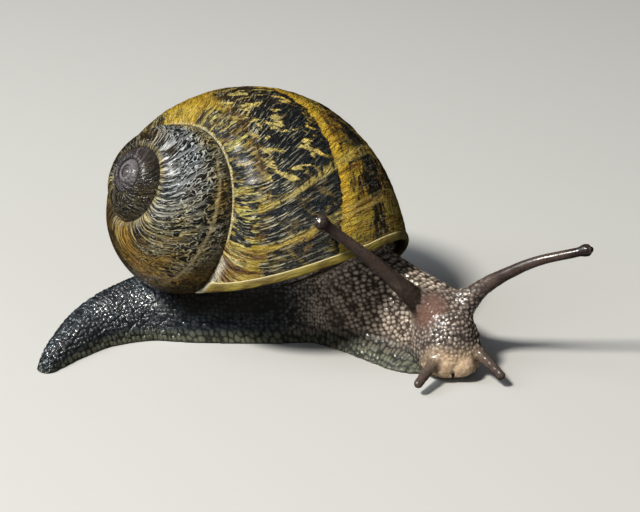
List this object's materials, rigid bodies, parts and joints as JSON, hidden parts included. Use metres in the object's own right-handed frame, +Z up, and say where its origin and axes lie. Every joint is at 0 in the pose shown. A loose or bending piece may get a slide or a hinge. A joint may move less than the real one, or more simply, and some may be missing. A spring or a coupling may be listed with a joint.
{
  "type": "garden snail",
  "caption": "Life-size still model of a banded garden snail crawling on a flat floor, tentacles out, with its coiled shell on its back.",
  "frame": {"origin": "middle of the bounding box on the floor, under the shell", "axes": "+X along the crawling line of the trunk towards the head, +Y the animal's left, +Z up from the flat sole"},
  "size_m": [0.0544, 0.0292, 0.0243],
  "materials": {
    "tail": "wet, finely tubercled",
    "foot": "wet",
    "neck": "wet, tubercled",
    "mouth": "moist",
    "tentacle": "smooth, moist",
    "eye": "glossy",
    "apex": "satin",
    "spire": "satin",
    "body_whorl": "glossy, finely ridged",
    "lip": "satin"
  },
  "bodies": {
    "root": {"tail": "tail", "foot_rear": "foot", "foot_middle": "foot", "foot_front": "foot", "trunk": "neck", "neck": "neck", "head": "neck", "mouth": "mouth", "tentacle_right_base": "tentacle", "tentacle_right_middle": "tentacle", "tentacle_right_tip": "tentacle", "tentacle_left_base": "tentacle", "tentacle_left_middle": "tentacle", "tentacle_left_tip": "tentacle", "tentacle_lower_right": "tentacle", "tentacle_lower_left": "tentacle", "eye_right": "eye", "eye_left": "eye", "shell_apex": "apex", "shell_penultimate_whorl": "spire", "shell_body_whorl": "body_whorl", "shell_lip": "lip"}
  },
  "joints": []
}
